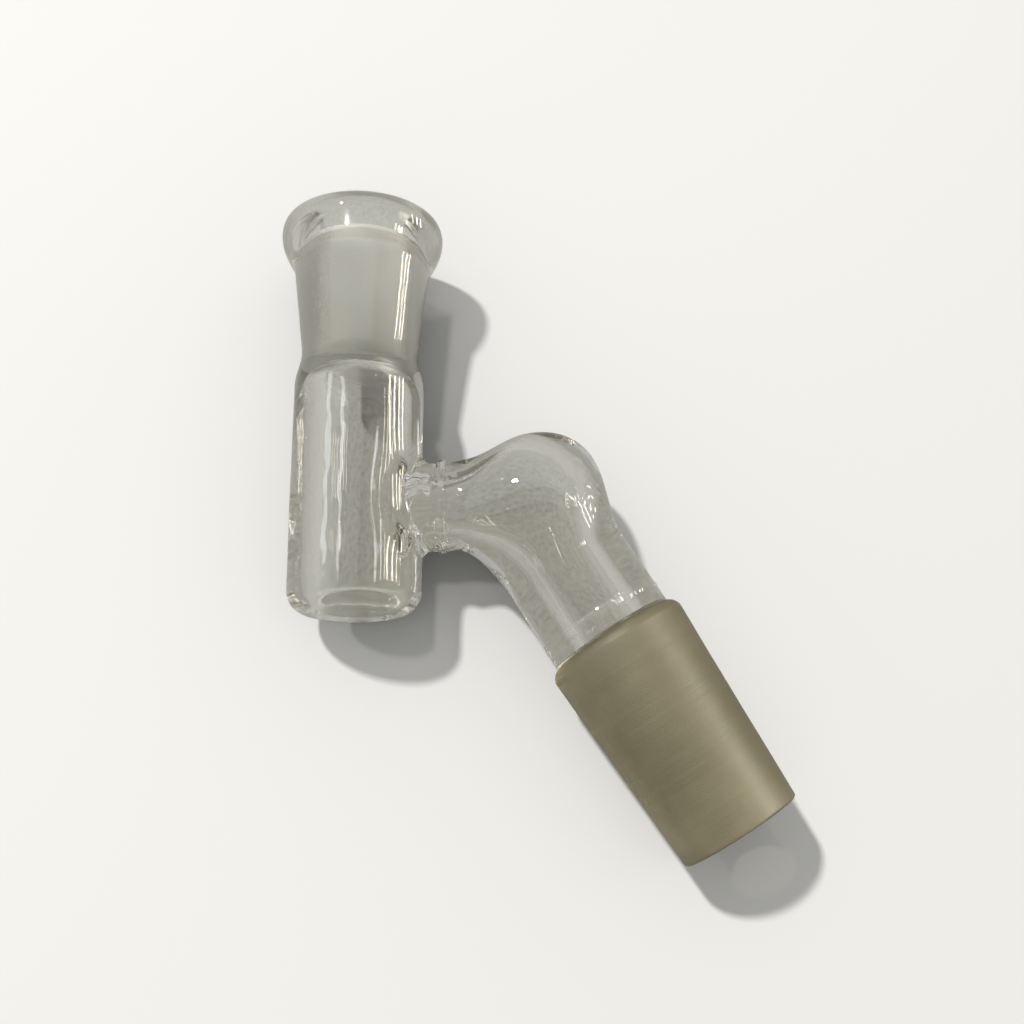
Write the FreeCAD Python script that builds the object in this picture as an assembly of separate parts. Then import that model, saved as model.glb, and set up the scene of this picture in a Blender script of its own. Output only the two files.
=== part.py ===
import FreeCAD, Part
import math
import os

# Ground-glass trap adapter: a socket on top of a closed receiver chamber, a
# side arm leaving the chamber, a swollen knee bend and a ground cone.
# Frame (mm): the adapter lies on its side with its bore axes in the plane
# Z = 0. +Y runs along the chamber from its closed base to the mouth of the
# socket, +X points to the side arm and +Z is up. The origin is the centre of
# the outer face of the chamber's base.

V = FreeCAD.Vector
os.makedirs("parts", exist_ok=True)

# ---------------------------------------------------------------- dimensions
# Receiver chamber, around the Y axis
CHAMBER_R = 6.70
CHAMBER_CAVITY_R = 3.95
CHAMBER_TOP = 23.4     # end of the straight wall
BASE_T = 2.0           # thickness of the closed base on the axis
BASE_EDGE = 2.2        # outer corner radius of the base
CAVITY_EDGE = 0.5      # corner radius of the cavity floor
BASE_SPLIT = 2.8       # seam between the base and the chamber tube
SEAL_LO, SEAL_HI = 24.0, 26.9   # seal ring between chamber and socket
THROAT = (3.15, 25.15)          # radius and y of the narrowest passage

# Ground socket, size 10
SOCKET_END = 42.7      # plane of the mouth
SOCKET_GAUGE_R = 5.0   # radius of the tapered bore at the mouth
GROUND_LO = 25.9       # small end of the ground bore
TAPER = 0.05           # change of radius per mm, on socket and cone
RIM_LO = 38.6          # seam between the socket wall and its rolled rim
RIM_R = 8.58           # widest radius of the rim
RIM_FACE_R = 7.10      # outer radius of the rim at the mouth plane
LIP_H = 0.75           # height over which the mouth's inner edge is rounded
LIP_FLARE = 0.8        # how far that rounding widens the bore
LIP_MID = (0.24, 0.22) # its middle point: widening, depth below the mouth

# Side arm, parallel to X
ARM_Y = 10.93          # height of the axis above the base
ARM_R = 4.48
ARM_BORE_R = 2.38
ARM_FILLET = 1.2       # blend between chamber and neck
SADDLE_R = 5.75        # radius of the outlet's saddle around the arm axis
SADDLE_SEAT_R = 6.0    # the saddle is let into the chamber wall to this radius
OUTLET_END = 8.25      # end of the outlet stub
SEAM_END = 9.0         # end of the seam ring
SEAM_PROUD = 0.14      # bulge of the seam ring, outside and in the bore
ARM_LEAD_X = (8.2, 8.6)   # round loft sections ahead of the knee stations

# Drop tube and cone: distances run along their axis from the start of the
# cone's shoulder, positive towards the tip
CONE_AT = V(25.58, -2.455, 0)
CONE_ANGLE = math.radians(-58.51)   # direction of the axis from +X
TUBE_R = 6.37
TUBE_BORE_R = 2.82
TUBE_TOP = -8.5                     # start of the straight tube
TUBE_LEAD = (0, 0.5, 1.5)           # round loft sections past TUBE_TOP
CONE_SEAL_LO, CONE_SEAL_HI = -2.4, -1.6
CONE_SEAL_PROUD = 0.07              # bulge of the seal ring outside
CONE_SEAL_INSET = 0.12              # bulge of the seal ring into the bore
CONE_GAUGE_R = 7.25                 # size 14 cone: radius at its large end
CONE_SHOULDER = 1.0                 # length of the rounded shoulder
CONE_END = 22.0
CONE_EDGE = 0.35                    # outer rounding at the tip
CONE_BORE_EDGE = 0.5                # inner rounding at the tip
CONE_BORE_EDGE_MID = 0.15           # offset of its middle point, both ways

# Outer wall above the straight chamber: (radius, y)
UPPER_OUTLINE = [
    (6.67, 24.0), (6.57, 24.7), (6.37, 25.5), (6.17, 26.3), (6.06, 27.0),
    (6.06, 27.7), (6.14, 28.6), (6.25, 29.5), (6.36, 30.5), (6.46, 31.5),
    (6.57, 32.5), (6.69, 33.5), (6.82, 34.5), (6.94, 35.5), (7.04, 36.3),
    (7.14, 36.9), (7.32, 37.4), (7.60, 37.95), (7.95, 38.6), (8.28, 39.3),
    (8.50, 40.1), (RIM_R, 40.9), (8.50, 41.55), (8.22, 42.15), (7.72, 42.55),
    (RIM_FACE_R, SOCKET_END),
]
# Bore narrowing to the throat and opening out again: (radius, y)
THROAT_BELOW = [(3.90, 23.95), (3.74, 24.45), (3.45, 24.87), THROAT]
THROAT_ABOVE = [(3.50, 25.34), (3.86, 25.56)]
# Rounded shoulder of the cone: (distance along the axis, radius)
SHOULDER = [(0.12, 6.62), (0.42, 6.98), (CONE_SHOULDER, CONE_GAUGE_R)]

# Knee bend stations: (x, y) on the outer curve, (x, y) on the inner curve,
# half height in Z, wall at the outer curve, wall at the inner curve,
# half height of the cavity in Z
KNEE = [
    ((9.00, 15.41), (9.00, 6.45), 4.48, 2.10, 2.10, 2.38),
    ((10.60, 15.66), (10.20, 6.50), 4.56, 2.08, 2.14, 2.44),
    ((12.40, 16.15), (11.20, 6.22), 4.90, 2.00, 2.30, 2.78),
    ((14.60, 17.25), (12.05, 5.72), 5.52, 1.95, 2.50, 3.30),
    ((16.80, 18.22), (12.70, 5.16), 6.08, 2.00, 2.80, 3.80),
    ((19.30, 18.52), (13.30, 4.56), 6.48, 2.30, 3.10, 4.10),
    ((21.60, 18.00), (13.85, 3.93), 6.72, 2.70, 3.30, 4.20),
    ((23.40, 16.70), (14.30, 3.38), 6.80, 3.05, 3.40, 4.15),
    ((24.62, 14.75), (14.70, 2.90), 6.76, 3.25, 3.50, 3.92),
    ((25.32, 12.65), (15.00, 2.50), 6.64, 3.40, 3.52, 3.58),
    ((25.86, 10.35), (15.30, 2.08), 6.48, 3.50, 3.55, 3.15),
]
ARM_CUT = 3            # the side arm tube ends at this station of KNEE
RING_POINTS = 24       # points on each loft section

ARC_MID = math.sqrt(0.5)   # cosine and sine of 45 degrees
ARM_AXIS = V(1, 0, 0)
DROP_AXIS = V(math.cos(CONE_ANGLE), math.sin(CONE_ANGLE), 0)   # towards the tip
DROP_OUTWARD = V(-DROP_AXIS.y, DROP_AXIS.x, 0)   # radial, outer side of the bend


# ------------------------------------------------------------------- helpers
def on_arm(distance, radius=0.0):
    return (distance, ARM_Y + radius)


def on_drop(distance, radius=0.0):
    point = CONE_AT + DROP_AXIS * distance + DROP_OUTWARD * radius
    return (point.x, point.y)


def edge_through(points):
    """Line through two points, arc through three, spline through more."""
    points = [V(*point) for point in points]
    if len(points) == 2:
        return Part.makeLine(*points)
    if len(points) == 3:
        return Part.Arc(*points).toShape()
    curve = Part.BSplineCurve()
    curve.interpolate(points)
    return curve.toShape()


def spin(start, steps, origin, axis):
    """Revolve a closed profile in the plane Z = 0.

    Each step lists the points of one edge after the end of the edge before.
    """
    edges = []
    for step in steps:
        edges.append(edge_through([start] + step))
        start = step[-1]
    face = Part.Face(Part.Wire(Part.__sortEdges__(edges)))
    return face.revolve(V(*origin), axis, 360)


def largest(shape):
    return max(shape.Solids, key=lambda solid: solid.Volume)


def refined(shape):
    """Largest solid, with its split faces merged where that stays valid."""
    solid = largest(shape)
    merged = solid.removeSplitter()
    return merged if merged.isValid() else solid


def half_space(point, normal, size=200.0):
    """Large box with one face through point, lying on the side of normal."""
    box = Part.makeBox(size, size, size, V(-size / 2, -size / 2, 0))
    turn = FreeCAD.Rotation(V(0, 0, 1), V(normal).normalize())
    box.Placement = FreeCAD.Placement(V(*point), turn)
    return box


def slab(y_lo, y_hi):
    return Part.makeBox(200, y_hi - y_lo, 200, V(-100, y_lo, -100))


def bulged_ring(place, axis, lo, hi, bore_r, outer_r, proud, inset):
    """Short tube whose outer wall and bore wall both bulge at mid length."""
    mid = (lo + hi) / 2
    start = place(lo, bore_r)
    steps = [
        [place(lo, outer_r)],
        [place(mid, outer_r + proud), place(hi, outer_r)],
        [place(hi, bore_r)],
        [place(mid, bore_r - inset), start],
    ]
    return spin(start, steps, place(0), axis)


# -------------------------------------------------------- chamber and socket
def make_upright_outer():
    edge = BASE_EDGE
    corner = CHAMBER_R - edge
    steps = [
        [(corner, 0)],
        [(corner + edge * ARC_MID, edge - edge * ARC_MID), (CHAMBER_R, edge)],
        [(CHAMBER_R, CHAMBER_TOP)],
        UPPER_OUTLINE,
        [(0, SOCKET_END)],
        [(0, 0)],
    ]
    return spin((0, 0), steps, (0, 0), V(0, 1, 0))


def make_upright_cavity():
    edge = CAVITY_EDGE
    corner = CHAMBER_CAVITY_R - edge
    ground_lo_r = SOCKET_GAUGE_R - TAPER * (SOCKET_END - GROUND_LO)
    lip_r = SOCKET_GAUGE_R - TAPER * LIP_H
    start = (0, BASE_T)
    steps = [
        [(corner, BASE_T)],
        [(corner + edge * ARC_MID, BASE_T + edge - edge * ARC_MID),
         (CHAMBER_CAVITY_R, BASE_T + edge)],
        [(CHAMBER_CAVITY_R, CHAMBER_TOP)],
        THROAT_BELOW,
        THROAT_ABOVE + [(ground_lo_r, GROUND_LO)],
        [(lip_r, SOCKET_END - LIP_H)],
        [(lip_r + LIP_MID[0], SOCKET_END - LIP_MID[1]),
         (lip_r + LIP_FLARE, SOCKET_END)],
        [(0, SOCKET_END)],
        [start],
    ]
    return spin(start, steps, (0, 0), V(0, 1, 0))


# Pieces cut from the upright body, each between two heights in Y
UPRIGHT_PIECES = {
    "chamber_base": (-1, BASE_SPLIT),
    "chamber_tube": (BASE_SPLIT, SEAL_LO),
    "socket_seal_ring": (SEAL_LO, SEAL_HI),
    "socket_joint": (SEAL_HI, RIM_LO),
    "socket_rim": (RIM_LO, SOCKET_END + 1),
}


def make_upright_pieces():
    upright = make_upright_outer().cut(make_upright_cavity())
    return {
        name: refined(upright.common(slab(y_lo, y_hi)))
        for name, (y_lo, y_hi) in UPRIGHT_PIECES.items()
    }


# --------------------------------------------------------------- side outlet
def upright_cylinder(radius):
    return Part.makeCylinder(radius, 20, V(0, 1, 0), V(0, 1, 0))


def arm_cylinder(radius, length):
    return Part.makeCylinder(radius, length, V(*on_arm(0)), ARM_AXIS)


def is_meeting_edge(edge):
    """True where the neck's surface meets the chamber's surface."""
    point = edge.valueAt((edge.FirstParameter + edge.LastParameter) / 2)
    on_chamber = abs(math.hypot(point.x, point.z) - CHAMBER_R) < 1e-3
    on_neck = abs(math.hypot(point.y - ARM_Y, point.z) - ARM_R) < 1e-3
    return on_chamber and on_neck


def make_outlet(chamber_tube):
    """Return the outlet stub and the chamber tube with its seat cut in."""
    core = upright_cylinder(CHAMBER_R)
    tee = core.fuse(arm_cylinder(ARM_R, OUTLET_END + 2))
    tee = tee.makeFillet(ARM_FILLET, [edge for edge in tee.Edges if is_meeting_edge(edge)])

    bore = arm_cylinder(ARM_BORE_R, OUTLET_END + 2)
    saddle = arm_cylinder(SADDLE_R, OUTLET_END)
    seat = upright_cylinder(SADDLE_SEAT_R)
    outlet = refined(tee.common(saddle).cut(seat).cut(bore))
    recess = saddle.common(core).cut(seat)
    return outlet, refined(chamber_tube.cut(recess).cut(bore))


# --------------------------------------------------- side arm tube and knee
def ring(centre, across, half_across, half_z):
    """Closed oval section, spanned by the direction across and by Z."""
    across = V(across).normalize()
    points = []
    for i in range(RING_POINTS):
        angle = 2 * math.pi * i / RING_POINTS
        points.append(
            V(*centre)
            + across * (half_across * math.cos(angle))
            + V(0, 0, 1) * (half_z * math.sin(angle))
        )
    curve = Part.BSplineCurve()
    curve.interpolate(points, PeriodicFlag=True)
    return Part.Wire([curve.toShape()])


def make_bend():
    outer_rings, inner_rings = [], []

    def add_round(centre, across, outer_r, bore_r):
        outer_rings.append(ring(centre, across, outer_r, outer_r))
        inner_rings.append(ring(centre, across, bore_r, bore_r))

    for x in ARM_LEAD_X:
        add_round(on_arm(x), V(0, 1, 0), ARM_R, ARM_BORE_R)
    for outer_at, inner_at, half_z, outer_wall, inner_wall, cavity_half_z in KNEE:
        outer_point, inner_point = V(*outer_at), V(*inner_at)
        across = outer_point - inner_point
        width = across.Length
        across.normalize()
        centre = (outer_point + inner_point) * 0.5
        outer_rings.append(ring(centre, across, width / 2, half_z))
        lo, hi = inner_wall, width - outer_wall
        centre = inner_point + across * ((lo + hi) / 2)
        inner_rings.append(ring(centre, across, (hi - lo) / 2, cavity_half_z))
    for lead in TUBE_LEAD:
        add_round(on_drop(TUBE_TOP + lead), DROP_OUTWARD, TUBE_R, TUBE_BORE_R)

    bend = Part.makeLoft(outer_rings, True, False).cut(
        Part.makeLoft(inner_rings, True, False)
    )
    # The lofts overrun both ends and are trimmed square to the two axes
    bend = bend.common(half_space(on_arm(SEAM_END), ARM_AXIS))
    return bend.common(half_space(on_drop(TUBE_TOP), DROP_AXIS * -1))


def make_arm_and_knee():
    """Split the bend at the station ARM_CUT."""
    bend = make_bend()
    outer_at, inner_at = KNEE[ARM_CUT][:2]
    onward = V(outer_at[1] - inner_at[1], inner_at[0] - outer_at[0], 0)
    arm_tube = refined(bend.common(half_space(inner_at, onward * -1)))
    knee_bend = refined(bend.common(half_space(inner_at, onward)))
    return arm_tube, knee_bend


# ------------------------------------------------------- drop tube and cone
def make_drop_tube():
    outer, bore = [
        Part.makeCylinder(radius, CONE_SEAL_LO - TUBE_TOP, V(*on_drop(TUBE_TOP)), DROP_AXIS)
        for radius in (TUBE_R, TUBE_BORE_R)
    ]
    return outer.cut(bore)


def make_cone():
    edge = CONE_EDGE
    edge_mid = edge * (1 - ARC_MID)
    # Radius where the taper ends and the tip's rounding begins
    edge_r = CONE_GAUGE_R - TAPER * (CONE_END - CONE_SHOULDER - edge)
    start = on_drop(CONE_SEAL_HI, TUBE_BORE_R)
    steps = [
        [on_drop(CONE_SEAL_HI, TUBE_R)],
        [on_drop(0, TUBE_R)],
        [on_drop(distance, radius) for distance, radius in SHOULDER],
        [on_drop(CONE_END - edge, edge_r)],
        [on_drop(CONE_END - edge_mid, edge_r - edge_mid), on_drop(CONE_END, edge_r - edge)],
        [on_drop(CONE_END, TUBE_BORE_R + CONE_BORE_EDGE)],
        [on_drop(CONE_END - CONE_BORE_EDGE_MID, TUBE_BORE_R + CONE_BORE_EDGE_MID),
         on_drop(CONE_END - CONE_BORE_EDGE, TUBE_BORE_R)],
        [start],
    ]
    return spin(start, steps, on_drop(0), DROP_AXIS)


# --------------------------------------------------------- build and export
pieces = make_upright_pieces()
pieces["side_outlet"], pieces["chamber_tube"] = make_outlet(pieces["chamber_tube"])
pieces["arm_seam_ring"] = bulged_ring(
    on_arm, ARM_AXIS, OUTLET_END, SEAM_END, ARM_BORE_R, ARM_R,
    proud=SEAM_PROUD, inset=SEAM_PROUD,
)
pieces["arm_tube"], pieces["knee_bend"] = make_arm_and_knee()
pieces["drop_tube"] = make_drop_tube()
pieces["cone_seal_ring"] = bulged_ring(
    on_drop, DROP_AXIS, CONE_SEAL_LO, CONE_SEAL_HI, TUBE_BORE_R, TUBE_R,
    proud=CONE_SEAL_PROUD, inset=CONE_SEAL_INSET,
)
pieces["cone_joint"] = make_cone()

for name, shape in pieces.items():
    solid = largest(shape)
    # A revolved profile can come out inside out, depending on its direction
    if solid.Volume < 0:
        solid.reverse()
    solid.exportStep(f"parts/{name}.step")
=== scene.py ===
"""A bent glass adapter lying on a pale floor.

The chamber and its ground socket stand about the +Y axis, from the closed base at Y = 0 to the
socket's rim. A side arm leaves the chamber along +X, bends over in the XY plane and runs down,
towards +X and -Y, to a ground cone. The floor lies under the piece, on the -Z side, and the
camera looks down from +Z.

Shapes are worked out in millimetres and become metres when a mesh is made. Colours are linear.
"""

import math
from collections import namedtuple
from functools import cached_property

import bpy
import numpy as np
from mathutils import Matrix, Vector


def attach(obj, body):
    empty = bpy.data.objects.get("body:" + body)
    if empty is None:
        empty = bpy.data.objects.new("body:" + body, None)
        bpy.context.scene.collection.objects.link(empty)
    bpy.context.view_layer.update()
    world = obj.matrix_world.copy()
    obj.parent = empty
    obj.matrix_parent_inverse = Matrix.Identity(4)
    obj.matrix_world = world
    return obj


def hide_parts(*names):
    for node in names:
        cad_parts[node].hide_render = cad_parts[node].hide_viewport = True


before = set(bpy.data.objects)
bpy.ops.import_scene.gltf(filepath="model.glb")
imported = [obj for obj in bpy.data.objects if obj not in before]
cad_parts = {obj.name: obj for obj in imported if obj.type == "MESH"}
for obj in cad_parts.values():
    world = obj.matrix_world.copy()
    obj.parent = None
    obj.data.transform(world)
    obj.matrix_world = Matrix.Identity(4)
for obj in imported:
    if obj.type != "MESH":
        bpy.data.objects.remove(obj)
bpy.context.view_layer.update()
scene = bpy.context.scene
MM = 0.001

# --------------------------------------------------------------- dimensions
# Chamber and socket: radii about Y, heights along Y.
CHAMBER_R = 6.70
CAVITY_R = 3.95
CAVITY_FLOOR = 2.0
BASE_EDGE = 2.2  # rounding of the base's outer edge
CAVITY_EDGE = 0.5  # rounding at the foot of the cavity
CAVITY_OFFSET = 0.30  # the cavity sits this far off centre, towards the arm
CHAMBER_TOP = 23.4
THROAT_R, THROAT_Y = 3.15, 25.15
SOCKET_TOP = 42.7
SOCKET_TOP_R = 7.10  # where the outside meets the flat top of the rim
RIM_R, RIM_Y = 8.58, 40.9  # widest ring of the rim
GAUGE_R = 5.0  # the ground bore's radius, taken up to the socket's top
TAPER = 0.05  # change of radius per millimetre of ground joint
LIP = 0.75  # depth of the rounded mouth
GROUND_LOW, GROUND_TOP = 25.9, 40.35  # the ground band of the bore

# Heights where one piece ends and the next begins.
BASE_SPLIT, SEAL_LOW, SEAL_HIGH, RIM_LOW = 2.8, 24.0, 26.9, 38.6

# Side arm: its axis runs along X at height ARM_Y.
ARM_Y = 10.93
ARM_R = 4.48
ARM_BORE = 2.38
FILLET = 1.2  # blend between chamber and arm, outside
CAVITY_FILLET = 0.8  # the same in the cavity
SADDLE_R = 5.75  # round hole in the chamber's skin that takes the outlet
SEAT_R = 6.0  # the outlet sits on a cylinder of this radius about Y
OUTLET_END, SEAM_END = 8.25, 9.0
SEAM_PROUD = 0.14

# Drop tube and cone: their axis starts at CONE_START, and stations are distances along it.
CONE_ANGLE = -58.51  # degrees from +X
CONE_START = np.array([25.58, -2.455, 0.0])
CONE_AXIS = np.array([math.cos(math.radians(CONE_ANGLE)), math.sin(math.radians(CONE_ANGLE)), 0.0])
CONE_SIDE = np.array([-CONE_AXIS[1], CONE_AXIS[0], 0.0])
TUBE_R = 6.37
TUBE_BORE = 2.82
TUBE_TOP = -8.5
CONE_SEAL_LOW, CONE_SEAL_HIGH = -2.4, -1.6
CONE_SEAL_PROUD, CONE_SEAL_INSIDE = 0.07, 0.05
CONE_R, CONE_SHOULDER = 7.25, 1.0  # the widest ring and its station
CONE_END = 22.0
CONE_EDGE = 0.35
CONE_MOUTH = 0.5  # rounding of the bore's mouth

# Stations of the bend: the outline's upper and lower points (x, y), its half width along Z,
# the wall's thickness at the upper and lower points, the cavity's half width along Z.
KNEE = [
    ((9.00, 15.41), (9.00, 6.45), 4.48, 2.10, 2.10, 2.38),
    ((10.60, 15.66), (10.20, 6.50), 4.56, 2.08, 2.14, 2.44),
    ((12.40, 16.15), (11.20, 6.22), 4.90, 2.00, 2.30, 2.78),
    ((14.60, 17.25), (12.05, 5.72), 5.52, 1.95, 2.50, 3.30),
    ((16.80, 18.22), (12.70, 5.16), 6.08, 2.00, 2.80, 3.80),
    ((19.30, 18.52), (13.30, 4.56), 6.48, 2.30, 3.10, 4.10),
    ((21.60, 18.00), (13.85, 3.93), 6.72, 2.70, 3.30, 4.20),
    ((23.40, 16.70), (14.30, 3.38), 6.80, 3.05, 3.40, 4.15),
    ((24.62, 14.75), (14.70, 2.90), 6.76, 3.25, 3.50, 3.92),
    ((25.32, 12.65), (15.00, 2.50), 6.64, 3.40, 3.52, 3.58),
    ((25.86, 10.35), (15.30, 2.08), 6.48, 3.50, 3.55, 3.15),
]
KNEE_SPLIT = 3  # the arm tube ends and the knee begins at this station

# Material slots of every piece.
SKIN, SEAM, GROUND, HAZE = 0, 1, 2, 3


# ------------------------------------------------------------------- curves
def cubic(knots, values):
    """A natural cubic spline through the values."""
    knots = np.asarray(knots, float)
    values = np.asarray(values, float).reshape(len(knots), -1)
    count, gaps = len(knots), np.diff(knots)
    system, target = np.zeros((count, count)), np.zeros((count, values.shape[1]))
    system[0, 0] = system[-1, -1] = 1
    for i in range(1, count - 1):
        system[i, i - 1 : i + 2] = gaps[i - 1], 2 * (gaps[i - 1] + gaps[i]), gaps[i]
        rise = (values[i + 1] - values[i]) / gaps[i]
        target[i] = 6 * (rise - (values[i] - values[i - 1]) / gaps[i - 1])
    curve = np.linalg.solve(system, target)

    def at(t):
        t = np.atleast_1d(np.asarray(t, float))
        i = np.clip(np.searchsorted(knots, t, side="right") - 1, 0, count - 2)
        gap = gaps[i][:, None]
        before = ((knots[i + 1] - t) / gaps[i])[:, None]
        after = ((t - knots[i]) / gaps[i])[:, None]
        bending = (before**3 - before) * curve[i] + (after**3 - after) * curve[i + 1]
        return before * values[i] + after * values[i + 1] + bending * gap**2 / 6

    return at


def through(points, step=0.15):
    points = np.asarray(points, float)
    lengths = np.linalg.norm(np.diff(points, axis=0), axis=1)
    run = np.concatenate([[0], np.cumsum(lengths)])
    return cubic(run, points)(np.linspace(0, run[-1], max(3, int(run[-1] / step) + 1)))


def straight(start, end, step=0.25):
    start, end = np.asarray(start, float), np.asarray(end, float)
    count = max(1, int(round(np.linalg.norm(end - start) / step)))
    return start + (end - start) * np.linspace(0, 1, count + 1)[:, None]


def arc(centre, radius, first, last, steps):
    """An arc between two angles in degrees."""
    angle = np.radians(np.linspace(first, last, steps + 1))
    return np.stack([centre[0] + radius * np.cos(angle), centre[1] + radius * np.sin(angle)], 1)


def swell(radius, proud, start, end, steps):
    """A straight run that swells by proud at its middle."""
    bulge = proud * np.sin(math.pi * np.linspace(0, 1, steps + 1))
    return np.stack([radius + bulge, np.linspace(start, end, steps + 1)], 1)


def chain(*parts):
    out = [parts[0]]
    for part in parts[1:]:
        joined = np.allclose(out[-1][-1], part[0], atol=1e-6)
        out.append(part[1:] if joined else part)
    return np.concatenate(out)


def with_heights(path, heights):
    """The path with a vertex added wherever it crosses one of the heights."""
    out = [path[0]]
    for p, q in zip(path[:-1], path[1:]):
        crossed = [h for h in heights if (p[1] - h) * (q[1] - h) < 0]
        for share, height in sorted(((h - p[1]) / (q[1] - p[1]), h) for h in crossed):
            if 1e-6 < share < 1 - 1e-6:
                point = p + (q - p) * share
                point[1] = height
                out.append(point)
        out.append(q)
    return np.array(out)


def path_normals(path):
    """Unit normals on the right-hand side of the path's direction."""
    step = np.diff(path, axis=0)
    length = np.linalg.norm(step, axis=1, keepdims=True)
    along = step / np.maximum(length, 1e-12)
    weight = 1 / np.maximum(length, 1e-3)
    mean = np.empty_like(path)
    mean[0], mean[-1] = along[0], along[-1]
    mean[1:-1] = along[:-1] * weight[:-1] + along[1:] * weight[1:]
    mean /= np.linalg.norm(mean, axis=1, keepdims=True)
    return np.stack([mean[:, 1], -mean[:, 0]], 1)


# ------------------------------------------------------------------- sheets
# A grid of points (rows, columns, 3) with outward normals. inner marks the inside of the
# glass, and wrap closes the grid along its columns.
Sheet = namedtuple("Sheet", "points normals mat inner wrap")


def sheet(points, normals, mat=SKIN, inner=False, wrap=True):
    return Sheet(points, np.broadcast_to(np.asarray(normals, float), points.shape), mat, inner, wrap)


def ruled(first, last, rows):
    """Rows of points between two loops that have the same number of points."""
    share = np.linspace(0, 1, rows + 1)[:, None, None]
    return first[None] * (1 - share) + last[None] * share


def bridge(first, last, towards):
    """One strip of seam between two loops, facing towards."""
    return sheet(ruled(first, last, rows=1), towards, SEAM)


# Loops round the arm follow the edge of a square patch, from its +Y middle by +Z.
# The patch is opened out flat: u runs towards +Z, v towards +Y, both from -1 to 1.
PATCH_STEPS = 48
HALF_PATCH = PATCH_STEPS // 2
PATCH_EDGE = np.array(
    [(i / HALF_PATCH, 1.0) for i in range(HALF_PATCH)]
    + [(1.0, 1 - 2 * i / PATCH_STEPS) for i in range(PATCH_STEPS)]
    + [(1 - 2 * i / PATCH_STEPS, -1.0) for i in range(PATCH_STEPS)]
    + [(-1.0, -1 + 2 * i / PATCH_STEPS) for i in range(PATCH_STEPS)]
    + [(-1 + i / HALF_PATCH, 1.0) for i in range(HALF_PATCH)]
)
PATCH_ANGLES = np.unwrap(np.arctan2(PATCH_EDGE[:, 0], PATCH_EDGE[:, 1]))
COS, SIN = np.cos(PATCH_ANGLES), np.sin(PATCH_ANGLES)
RADIAL = np.stack([0 * COS, COS, SIN], 1)  # outward from the arm's axis

ROUND_STEPS = 144
ROUND_ANGLES = np.radians(np.arange(ROUND_STEPS) * 360.0 / ROUND_STEPS)

# An axis to turn profiles about: angle zero points along side, a quarter turn along other.
X, Y, Z = np.eye(3)
Spindle = namedtuple("Spindle", "origin axis side other angles")
CHAMBER_SPINDLE = Spindle(np.zeros(3), Y, X, Z, ROUND_ANGLES)
ARM_SPINDLE = Spindle(ARM_Y * Y, X, Y, Z, PATCH_ANGLES)
CONE_SPINDLE = Spindle(
    CONE_START, CONE_AXIS, CONE_SIDE, np.cross(CONE_SIDE, CONE_AXIS), PATCH_ANGLES
)


def rays(spindle):
    angles = spindle.angles[:, None]
    return np.cos(angles) * spindle.side + np.sin(angles) * spindle.other


def circle(spindle, radius, height):
    return spindle.origin + height * spindle.axis + radius * rays(spindle)


def revolve(profile, spindle, mat=SKIN, inner=False, low=-math.inf, high=math.inf):
    """Turns the part of a profile, (radius, height) points and normals, from low to high."""
    heights = profile[0][:, 1]
    kept = (heights >= low - 1e-6) & (heights <= high + 1e-6)
    path, normals = (part[kept][:, :, None, None] for part in profile)
    ray = rays(spindle)[None]
    return sheet(
        spindle.origin + path[:, 1] * spindle.axis + path[:, 0] * ray,
        normals[:, 1] * spindle.axis + normals[:, 0] * ray,
        mat,
        inner,
    )


def cap(spindle, height, outer, bore, sign):
    """A ring of seam across the wall, facing along the axis or against it."""
    loops = circle(spindle, outer, height), circle(spindle, bore, height)
    return bridge(*loops, sign * spindle.axis)


# --------------------------------------------------------------- hand-made
# A blown and welded piece is never quite true. Slow waves move the whole wall,
# small lumps sit on the welds, and faint ripples run round the inside of the bend.
# Wave numbers are in radians per millimetre, heights in millimetres.
WAVE = 0.020

# Lumps: centre, radius, height.
LUMPS_OUT = [
    ((8.75, 15.45, 0.55), 0.42, 0.34),
    ((8.45, 14.95, 2.2), 0.55, 0.10),
    ((8.9, 6.75, 1.2), 0.75, 0.30),
    ((8.1, 7.0, 2.4), 0.60, 0.22),
    ((9.9, 6.85, 1.6), 0.70, 0.16),
    ((8.6, 8.2, 3.9), 0.60, 0.10),
    ((8.6, 6.9, -1.6), 0.70, 0.22),
]
LUMPS_IN = [
    ((8.6, 8.75, 1.0), 0.75, 0.32),
    ((9.6, 8.70, -0.9), 0.70, 0.25),
    ((7.4, 8.75, 1.2), 0.65, 0.22),
    ((8.3, 13.1, 0.9), 0.60, 0.20),
    ((5.1, 13.6, 1.1), 0.70, 0.18),
    ((4.6, 8.6, 1.8), 0.60, 0.18),
    ((10.6, 13.0, 1.1), 0.50, 0.10),
]


def unit(value):
    return np.clip(value, 0, 1)


def ease(value):
    value = unit(value)
    return value * value * (3 - 2 * value)


def waves(p, inner):
    """How far each point is moved by the slow waves, and by the cavity's offset."""
    x, y, z = p.T
    move = np.zeros_like(p)
    move[:, 0] = WAVE * np.sin(0.31 * y + 0.9 + 0.4 * z)
    move[:, 0] += 0.45 * WAVE * np.sin(0.83 * y - 0.37 * z + 2.1)
    move[:, 1] = 0.6 * WAVE * np.sin(0.47 * x + 0.22 * z + 0.3)
    move[:, 2] = WAVE * np.sin(0.27 * y + 0.53 * x + 1.7)
    move[:, 2] += 0.45 * WAVE * np.sin(0.71 * y + 0.45 * x + 4.0)
    # the waves die out towards the rim and the cone's tip
    along = (p - CONE_START) @ CONE_AXIS
    fade = unit((39.0 - y) / 4.0) * unit((17.0 - along) / 5.0) * unit((y + 22.0) / 4.0)
    move *= ease(fade)[:, None]
    if inner:
        below_throat = ease((25.0 - y) / 2.6)
        near_axis = ease((SEAT_R - 0.1 - np.hypot(x, z)) / 1.7)
        move[:, 0] += CAVITY_OFFSET * below_throat * near_axis
    return move


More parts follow.
